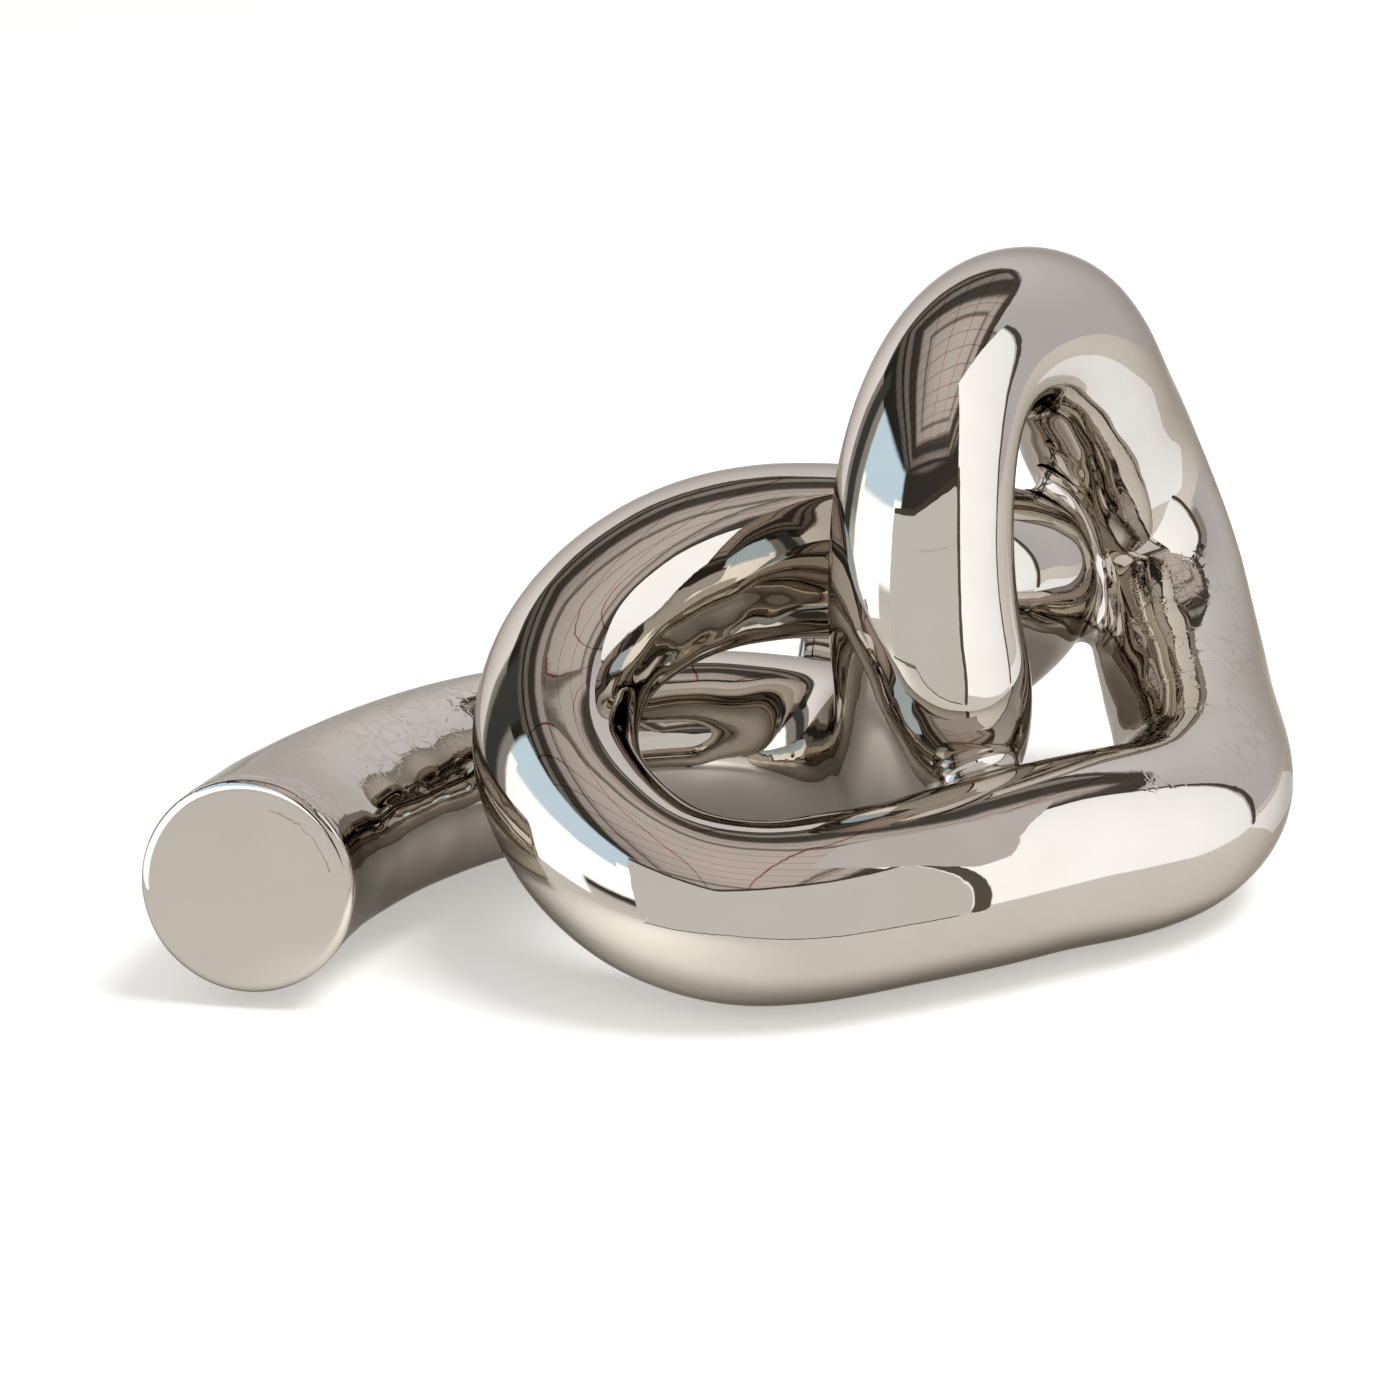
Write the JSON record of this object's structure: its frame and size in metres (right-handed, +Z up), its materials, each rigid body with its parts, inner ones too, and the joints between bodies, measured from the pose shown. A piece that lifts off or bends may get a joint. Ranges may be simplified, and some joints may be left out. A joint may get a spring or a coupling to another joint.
{
  "type": "knot sculpture",
  "caption": "Free-standing abstract sculpture: a fat, mirror-polished metal tube wound in a loose, open knot, with flat round ends.",
  "frame": {"origin": "centre of the footprint, on the surface that the sculpture stands on", "axes": "+X to the viewer's right along the longest extent, +Y away from the viewer, +Z up; the visible end disc faces -Y and -X"},
  "size_m": [0.3334, 0.2691, 0.1888],
  "materials": {
    "polished_nickel": "cast aluminium, nickel plated and hand polished to a slightly wavy mirror",
    "raw_aluminium": "as machined, hidden inside the joints",
    "grey_felt": "pressed felt"
  },
  "bodies": {
    "root": {"tube_tail": "polished_nickel", "tube_tail_back": "polished_nickel", "tube_heel": "polished_nickel", "tube_front_leg": "polished_nickel", "tube_bend_front": "polished_nickel", "tube_bend_back": "polished_nickel", "tube_right_leg": "polished_nickel", "tube_corner": "polished_nickel", "tube_front_run": "polished_nickel", "tube_ring_low": "polished_nickel", "tube_ring_high": "polished_nickel", "tube_crown": "polished_nickel", "tube_back_turn": "polished_nickel", "tube_stub": "polished_nickel", "end_disc_back": "polished_nickel", "end_disc_front": "polished_nickel", "fillet_leg_to_run": "polished_nickel", "fillet_turn_to_leg": "polished_nickel", "sleeve_after_tail": "raw_aluminium", "sleeve_after_tail_back": "raw_aluminium", "sleeve_after_heel": "raw_aluminium", "sleeve_after_front_leg": "raw_aluminium", "sleeve_after_bend_front": "raw_aluminium", "sleeve_after_bend_back": "raw_aluminium", "sleeve_after_right_leg": "raw_aluminium", "sleeve_after_corner": "raw_aluminium", "sleeve_after_front_run": "raw_aluminium", "sleeve_after_ring_low": "raw_aluminium", "sleeve_after_ring_high": "raw_aluminium", "sleeve_after_crown": "raw_aluminium", "sleeve_after_back_turn": "raw_aluminium", "pad_front_run": "grey_felt", "pad_corner": "grey_felt", "pad_tail": "grey_felt", "pad_heel": "grey_felt", "pad_stub": "grey_felt"}
  },
  "joints": []
}
